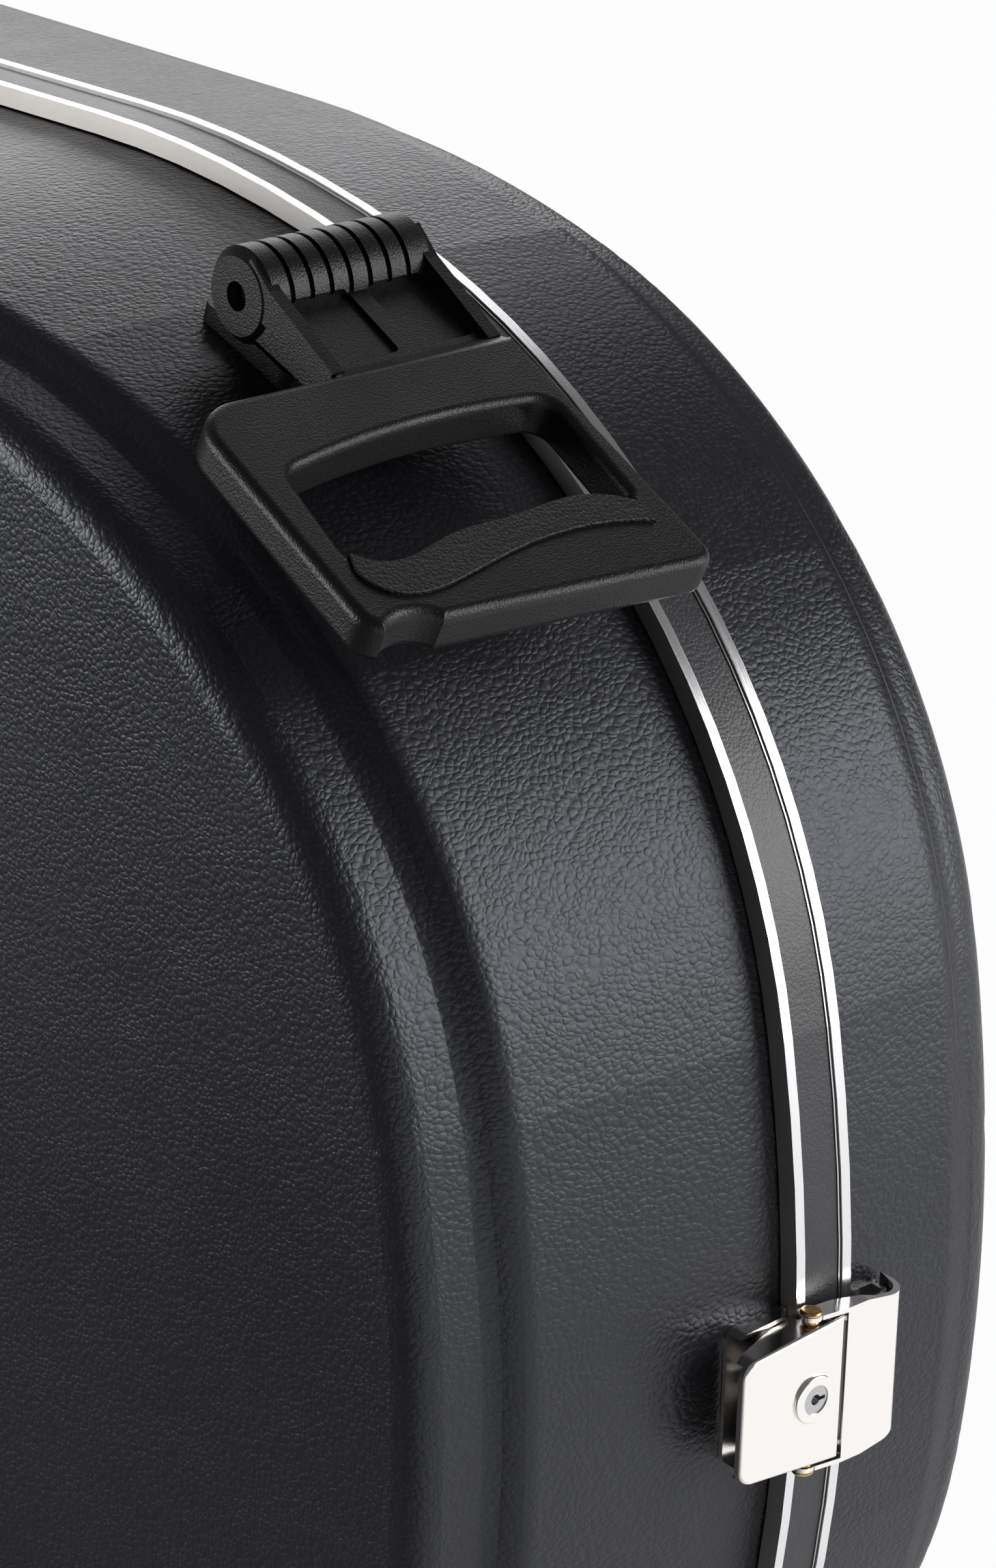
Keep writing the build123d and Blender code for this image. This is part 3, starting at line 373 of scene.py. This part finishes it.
for latch in ("bow", "bell", "top_bow", "top_bell"):
    for piece in ("latch_base", "lever", "hasp", "lock_housing"):
        dress(f"{latch}_{piece}", nickel_finish)
    dress(f"{latch}_lock_plug", steel_finish)
    dress(f"{latch}_hasp_rivets", brass_finish)
for name, finish in (("strikes", nickel_finish), ("lever_pins", steel_finish)):
    dress(name, finish)


# Hinges: three nickelled strap hinges under the case, with turned steel pins.
# The leaves are the latches' own sheet, the pins are cut from bar.
for name in ("hinge_base_leaves", "hinge_lid_leaves"):
    dress(name, nickel_finish)
dress("hinge_pins", steel_finish)


# Handles: injection-moulded black polymer with a fine spark texture and a soft grip insert.
# The polymer is a little shinier in broad random patches.
def make_spark_group():
    """Fine eroded texture of an injection mould."""
    group, into, out = new_group(
        "spark_texture",
        [("Vector", "NodeSocketVector", None), ("Size", "NodeSocketFloat", 1700.0)],
        [("Height", "NodeSocketFloat"), ("Rub", "NodeSocketFloat")],
    )
    grit = group.nodes.new("ShaderNodeTexNoise")
    grit.inputs["Detail"].default_value = 2
    join(group, into.outputs["Vector"], grit.inputs["Vector"])
    join(group, into.outputs["Size"], grit.inputs["Scale"])
    wide = noise_at(group, into.outputs["Vector"], 45, 3.0)
    join(group, grit.outputs[0], out.inputs["Height"])
    join(group, wide.outputs[0], out.inputs["Rub"])
    return group


spark = make_spark_group()
rubbed, rub_spread = 0.28, 0.22
moulded_finish, tree, shader = new_material("moulded_polymer", (0.004, 0.004, 0.0045), 0.42)
shader.inputs["Specular IOR Level"].default_value = 0.36
skin = use_group(tree, spark, Vector=coords(tree))
rub = maths(tree, "ADD", maths(tree, "MULTIPLY", skin.outputs["Rub"], rub_spread), rubbed)
join(tree, rub, shader.inputs["Roughness"])
bump(tree, shader, skin.outputs["Height"], 0.00022, 0.8)

grip_finish, tree, shader = new_material("soft_grip", (0.008, 0.008, 0.0085), 0.5)
dimples = use_group(tree, pebble, Vector=coords(tree), Cells=820.0, Wobble=0.0008)
bump(tree, shader, dimples.outputs["Height"], 0.0003, 0.9)

for name in ("pull_handle", "pull_bracket", "carry_handle", "carry_mounts"):
    dress(name, moulded_finish)
for name in ("pull_axle", "carry_pins"):
    dress(name, steel_finish)


def merged(node):
    """Bmesh of a CAD node with its doubled points merged."""
    form = bmesh.new()
    form.from_mesh(nodes[node].data)
    bmesh.ops.remove_doubles(form, verts=form.verts, dist=1e-5)
    return form


def mesh_of(form, name):
    """Mesh of a finished bmesh, which is freed."""
    mesh = bpy.data.meshes.new(name)
    form.to_mesh(mesh)
    form.free()
    return mesh


def put(name, data):
    """Object for a mesh, lamp or camera, linked to the scene."""
    made = bpy.data.objects.new(name, data)
    bpy.context.scene.collection.objects.link(made)
    return made


def show(name, mesh, finish):
    """Object of one material for a finished mesh, with smooth faces."""
    mesh.materials.clear()
    mesh.materials.append(finish)
    for face in mesh.polygons:
        face.use_smooth = True
    return put(name, mesh)


def eased(node, name, finish, radius, picked):
    """Copy of a CAD node with the sharp edges that picked accepts rounded over."""
    flat_within, sharp_from = 0.02, 0.6
    form = merged(node)
    bmesh.ops.dissolve_limit(form, angle_limit=flat_within, verts=form.verts, edges=form.edges)
    edges = [e for e in form.edges if picked(e) and e.calc_face_angle(0) > sharp_from]
    bmesh.ops.bevel(
        form, geom=edges, offset=radius, affect="EDGES", segments=4, profile=0.5, material=-1,
        clamp_overlap=True,
    )
    bmesh.ops.triangulate(form, faces=[f for f in form.faces if len(f.verts) > 4])
    made = show(name, mesh_of(form, name), finish)
    made.modifiers.new("even_shading", "WEIGHTED_NORMAL").weight = 80
    return made


grip_radius = 0.0014
soft_grip = eased("pull_grip", "soft_grip", grip_finish, grip_radius, lambda edge: edge.is_manifold)
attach(soft_grip, "pull_handle")
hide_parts("pull_grip")


# Wheels and feet: polymer hubs and brackets, with dusty black rubber tyres and feet.
# The steel axles are headed over outside the cheeks.
rubber_finish, tree, shader = new_material("tyre_rubber", (0.022, 0.022, 0.022), 0.7)
dust_and_crease_shade = noise_at(tree, coords(tree), 120, 4.0, 0.65).outputs[0]
black_to_dusty = [(0.35, (0.017, 0.017, 0.017)), (0.75, (0.045, 0.043, 0.041))]
join(tree, ramp(tree, dust_and_crease_shade, black_to_dusty), shader.inputs["Base Color"])
bump(tree, shader, dust_and_crease_shade, 0.0002, 0.4)
for side in ("base", "lid"):
    for piece, finish in (
        ("tyre", rubber_finish), ("feet", rubber_finish), ("hub", moulded_finish),
        ("wheel_bracket", moulded_finish), ("wheel_axle", steel_finish),
    ):
        dress(f"{side}_{piece}", finish)


# Rivets: nickelled steel pop rivets through the hinges, latches, strikes and handle mounts.
# Each head is domed, with the dimple that its mandrel leaves, and is set from outside.
def rivet_head(radius, rise):
    """Domed rivet head on the XY plane."""
    profile = [
        (0.0, -0.3), (1.0, -0.3), (1.0, 0.2), (0.82, 0.72), (0.55, 1.0), (0.4, 0.95), (0.3, 0.55), (0.0, 0.5),
    ]
    form = bmesh.new()
    points = [form.verts.new((r * radius, 0, z * rise)) for r, z in profile]
    edges = [form.edges.new(pair) for pair in zip(points, points[1:])]
    bmesh.ops.spin(form, geom=points + edges, axis=(0, 0, 1), cent=(0, 0, 0), steps=24, angle=radians(360))
    bmesh.ops.remove_doubles(form, verts=form.verts, dist=1e-6)
    bmesh.ops.recalc_face_normals(form, faces=form.faces)
    return mesh_of(form, "rivet_head")


def surface_of(node):
    """Surface of a CAD node, for rays and nearest points."""
    form = merged(node)
    surface = BVHTree.FromBMesh(form)
    form.free()
    return surface


def rivets(name, node, body, inward, spots, radius=0.0028, rise=0.001):
    """One piece of rivet heads, each where the inward ray from its spot meets the node."""
    plate = surface_of(node)
    head = rivet_head(radius, rise)
    form = bmesh.new()
    for spot in spots:
        found, normal = plate.ray_cast(Vector(spot), Vector(inward))[:2]
        turn = normal.to_track_quat("Z", "Y").to_matrix().to_4x4()
        start = len(form.verts)
        form.from_mesh(head)
        form.verts.ensure_lookup_table()
        bmesh.ops.transform(form, matrix=Matrix.Translation(found) @ turn, verts=form.verts[start:])
    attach(show(name, mesh_of(form, name), nickel_finish), body)


outward_of_case, below_case = 0.6, -0.1
leaf_xs, leaf_pitch = (-0.330, -0.060, 0.190), 0.02
for body, leaf_y in (("base", -0.026), ("lid", 0.036)):
    spots = [(x + step, leaf_y, below_case) for x in leaf_xs for step in (-leaf_pitch, 0, leaf_pitch)]
    rivets(f"hinge_{body}_rivets", f"hinge_{body}_leaves", body, (0, 0, 1), spots)

latch_low, latch_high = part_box("bow_latch_base")
base_rivet_y, strike_rivet_y = latch_low.y + 0.0095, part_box("strikes")[0].y + 0.0046
bow_z = (latch_low.z + latch_high.z) / 2
rim_low, rim_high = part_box("base_valance")
middle_z = (rim_low.z + rim_high.z) / 2
from_bow, from_bell, from_top = (-1, 0, 0), (1, 0, 0), (0, 0, -1)
for latch, place, inward, along in (
    ("bow", (outward_of_case, 0, bow_z), from_bow, (0, 0, 1)),
    ("bell", (-outward_of_case, 0, middle_z), from_bell, (0, 0, 1)),
    ("top_bow", (0.110, 0, outward_of_case), from_top, (1, 0, 0)),
    ("top_bell", (-0.250, 0, outward_of_case), from_top, (1, 0, 0)),
):
    for piece, node, body, rivet_y, apart in (
        ("base", f"{latch}_latch_base", "base", base_rivet_y, 0.009),
        ("strike", "strikes", "lid", strike_rivet_y, 0.012),
    ):
        spots = [Vector(place) + Vector((0, rivet_y, 0)) + Vector(along) * apart * way for way in (-1, 1)]
        rivets(f"{latch}_{piece}_rivets", node, body, inward, spots, radius=0.0024, rise=0.0007)

mount_low, mount_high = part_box("carry_mounts")
mount_xs = (mount_low.x + 0.01, mount_high.x - 0.01)
mount_y, mount_apart = (mount_low.y + mount_high.y) / 2, 0.0075
spots = [(x, mount_y + way * mount_apart, outward_of_case) for x in mount_xs for way in (-1, 1)]
rivets("carry_mount_rivets", "carry_mounts", "base", from_top, spots)


# Lining: short plush over foam, glued into both shells, with foam ribs and cushions under the
# same cloth. Each piece is a padded form with eased edges, in place of its plain solid.
plush_finish, tree, shader = new_material("black_plush", (0.03, 0.03, 0.033), 0.9)
where = coords(tree)
pile = noise_at(tree, where, 700, 3.0, 0.7).outputs[0]
brushed = noise_at(tree, where, 18, 2.0).outputs[0]
pile_share, brushed_share = 0.45, 0.55
mixed = maths(tree, "MULTIPLY", pile, pile_share)
mixed = maths(tree, "ADD", mixed, maths(tree, "MULTIPLY", brushed, brushed_share))
deep_to_brushed = [(0.3, (0.016, 0.016, 0.018)), (0.7, (0.055, 0.055, 0.06))]
join(tree, ramp(tree, mixed, deep_to_brushed), shader.inputs["Base Color"])
shader.inputs["Sheen Weight"].default_value = 0.6
shader.inputs["Sheen Roughness"].default_value = 0.4
bump(tree, shader, pile, 0.0007, 0.9)


def padded_piece(made, node, body):
    """Lets a padded piece ride its body in the place of the node's plain solid."""
    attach(made, body)
    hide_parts(node)


rim_radius, rim_play = 0.0025, 0.0002
for side, rim in (("base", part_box("base_lining")[1].y), ("lid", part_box("lid_lining")[0].y)):
    lining = eased(
        f"{side}_lining", f"{side}_lining_plush", plush_finish, rim_radius,
        lambda edge: all(abs(v.co.y - rim) < rim_play for v in edge.verts),
    )
    padded_piece(lining, f"{side}_lining", side)


# Foam ribs, crescent and cushions: soft foam in the same plush, glued down on the lining.
# Each starts as a slightly smaller block, its glued side is held and cloth pressure fills it out.
def foam_block(node, lining):
    """Evenly meshed block with softened corners, drawn in where it isn't glued to the lining."""
    drawn_in, glue_reach, cell = 0.003, 0.009, 0.0055
    made = show(f"{node}_foam", mesh_of(merged(node), f"{node}_foam"), plush_finish)
    even = made.modifiers.new("even", "REMESH")
    even.mode, even.voxel_size = "VOXEL", cell
    soft = made.modifiers.new("soft", "SMOOTH")
    soft.factor, soft.iterations = 0.5, 5
    seen = made.evaluated_get(bpy.context.evaluated_depsgraph_get())
    block = bpy.data.meshes.new_from_object(seen)
    made.modifiers.clear()
    made.data = block
    seat = surface_of(lining)
    glued = [v.index for v in block.vertices if seat.find_nearest(v.co, glue_reach)[0]]
    made.vertex_groups.new(name="glued").add(glued, 1.0, "ADD")
    held = set(glued)
    spots = [v.co - v.normal * (0 if v.index in held else drawn_in) for v in block.vertices]
    for vertex, spot in zip(block.vertices, spots):
        vertex.co = spot
    return made


def fill_out(pieces):
    """Runs the cloth pressure on all blocks at once and keeps each point near its start."""
    frames, furthest = 20, 0.008
    for made in pieces:
        cloth = made.modifiers.new("filling", "CLOTH")
        cloth.settings.quality = 4
        cloth.settings.mass = 0.3
        cloth.settings.tension_stiffness = cloth.settings.compression_stiffness = 10
        cloth.settings.use_pressure = True
        cloth.settings.uniform_pressure_force = 4
        cloth.settings.effector_weights.gravity = 0
        cloth.settings.vertex_group_mass = "glued"
        cloth.collision_settings.use_collision = False
        cloth.point_cache.frame_start, cloth.point_cache.frame_end = 1, frames
    for step in range(1, frames + 1):
        bpy.context.scene.frame_set(step)
    graph = bpy.context.evaluated_depsgraph_get()
    for made in pieces:
        filled = bpy.data.meshes.new_from_object(made.evaluated_get(graph))
        for start, end in zip(made.data.vertices, filled.vertices):
            moved = end.co - start.co
            end.co = start.co + moved * min(1.0, furthest / max(moved.length, 1e-6))
        made.modifiers.clear()
        made.data = filled
    bpy.context.scene.frame_set(1)


foams = (
    ("bell_cradle", "base"), ("body_cradle", "base"), ("bow_cradle", "base"),
    ("lid_bow_cushion", "lid"), ("lid_body_cushion", "lid"),
)
blocks = [foam_block(node, f"{body}_lining") for node, body in foams]
fill_out(blocks)
for made, (node, body) in zip(blocks, foams):
    smooth = made.modifiers.new("smooth", "SUBSURF")
    smooth.levels = smooth.render_levels = 1
    padded_piece(made, node, body)


# Camera at the photograph's angle, some way off with a long lens, aimed past the bow end's latch.
# A spot on the latch stays on the pixel where the photograph has it.
azimuth, elevation = radians(49.5), radians(21.0)
focal_px, scale_px = 7600.0, 5800.0
photo_wide, photo_high = 1529, 2408
latch_px = (1250, 1929)
back = Vector((sin(azimuth) * cos(elevation), -cos(azimuth) * cos(elevation), sin(elevation)))
right = Vector((cos(azimuth), sin(azimuth), 0.0))
up = back.cross(right)
below_seam, above_middle = 0.0045, 0.015
latch_spot = Vector((tip_x, seam_y - below_seam, middle_z + above_middle))
ray = right * (latch_px[0] - photo_wide / 2) - up * (latch_px[1] - photo_high / 2)
ray = (ray / focal_px - back).normalized()
eye = bpy.data.cameras.new("eye")
eye.sensor_width = 36
eye.sensor_fit = "AUTO"
eye.lens = focal_px / photo_high * eye.sensor_width
eye.clip_start, eye.clip_end = 0.05, 60
camera = put("eye", eye)
turned = Matrix((right, up, back)).transposed().to_4x4()
camera.matrix_world = Matrix.Translation(latch_spot - ray * (focal_px / scale_px)) @ turned
bpy.context.scene.camera = camera


# Floor: a plain white sweep, seen as pure white, that keeps the case's own shadow.
# In reflections it is bright behind the bow end and dim in front of the base's face.
white_finish, tree, shader = new_material("white_sweep", (0.8, 0.8, 0.8), 0.8)
paths = tree.nodes.new("ShaderNodeLightPath")
glow = tree.nodes.new("ShaderNodeEmission")
glow.inputs["Color"].default_value = (1, 1, 1, 1)
apart = tree.nodes.new("ShaderNodeSeparateXYZ")
join(tree, coords(tree), apart.inputs[0])
bow_way_x, bow_way_y, ramp_start, glow_share = 0.76, 0.65, 0.2, 0.97
along = maths(tree, "MULTIPLY", apart.outputs["X"], bow_way_x)
along = maths(tree, "ADD", along, maths(tree, "MULTIPLY", apart.outputs["Y"], bow_way_y))
dim_to_white = [(0.0, (0.1,) * 3), (0.4, (0.24,) * 3), (0.85, (1, 1, 1))]
lit_side = ramp(tree, maths(tree, "ADD", along, ramp_start), dim_to_white)
shown = maths(tree, "MULTIPLY", paths.outputs["Is Glossy Ray"], lit_side)
join(tree, maths(tree, "MAXIMUM", paths.outputs["Is Camera Ray"], shown), glow.inputs["Strength"])
pick = tree.nodes.new("ShaderNodeMixShader")
either = maths(tree, "MAXIMUM", paths.outputs["Is Camera Ray"], paths.outputs["Is Glossy Ray"])
join(tree, maths(tree, "MULTIPLY", either, glow_share), pick.inputs[0])
join(tree, shader.outputs[0], pick.inputs[1])
join(tree, glow.outputs[0], pick.inputs[2])
out = next(n for n in tree.nodes if n.type == "OUTPUT_MATERIAL")
join(tree, pick.outputs[0], out.inputs["Surface"])
floor_form = bmesh.new()
bmesh.ops.create_grid(floor_form, x_segments=1, y_segments=1, size=30)
floor = show("white_floor", mesh_of(floor_form, "white_floor"), white_finish)

studio_fill, background_rest = 0.13, 0.87
world = bpy.data.worlds.new("studio")
bpy.context.scene.world = world
world.use_nodes = True
air = world.node_tree
sky = next(n for n in air.nodes if n.type == "BACKGROUND")
sky.inputs["Color"].default_value = (1, 1, 1, 1)
paths = air.nodes.new("ShaderNodeLightPath")
seen = maths(air, "MAXIMUM", paths.outputs["Is Camera Ray"], paths.outputs["Is Transmission Ray"], True)
seen = maths(air, "MULTIPLY", seen, background_rest)
join(air, maths(air, "ADD", seen, studio_fill), sky.inputs["Strength"])


# Lamps: a tall soft box behind the bow end, weaker towards its foot, one behind the top side and a
# weak one above give the sheen on walls and strips. One in front lights the base's face.
def soft_lamp(name, place, aim, width, height, power, raised=0.0):
    """Rectangular soft box at a place, turned to its aim, then raised along its own height."""
    light = bpy.data.lights.new(name, "AREA")
    light.shape = "RECTANGLE"
    light.size, light.size_y = width, height
    light.energy = power
    lamp = put(name, light)
    turn = (Vector(aim) - Vector(place)).to_track_quat("-Z", "Y")
    lamp.location = Vector(place) + turn @ Vector((0, raised, 0))
    lamp.rotation_euler = turn.to_euler()


for name, height, power, raised in (
    ("bow_box", 1.2, 52.0, 0.35), ("bow_box_low", 0.35, 11.5, -0.425), ("bow_box_hem", 0.35, 5.5, -0.775),
):
    soft_lamp(name, (2.7, 2.0, 1.0), (0.4, 0.0, 0.3), 2.0, height, power, raised)
soft_lamp("top_box", (-2.3, 1.9, 1.5), (0.2, 0.0, 0.5), 1.9, 0.9, 20)
soft_lamp("over_box", (-0.9, 1.8, 2.4), (0.2, 0.0, 0.4), 1.4, 1.0, 6)
soft_lamp("face_box", (-1.6, -2.4, 0.8), (0.4, -0.15, 0.3), 1.2, 1.2, 55)

bpy.context.scene.view_settings.view_transform = "Standard"
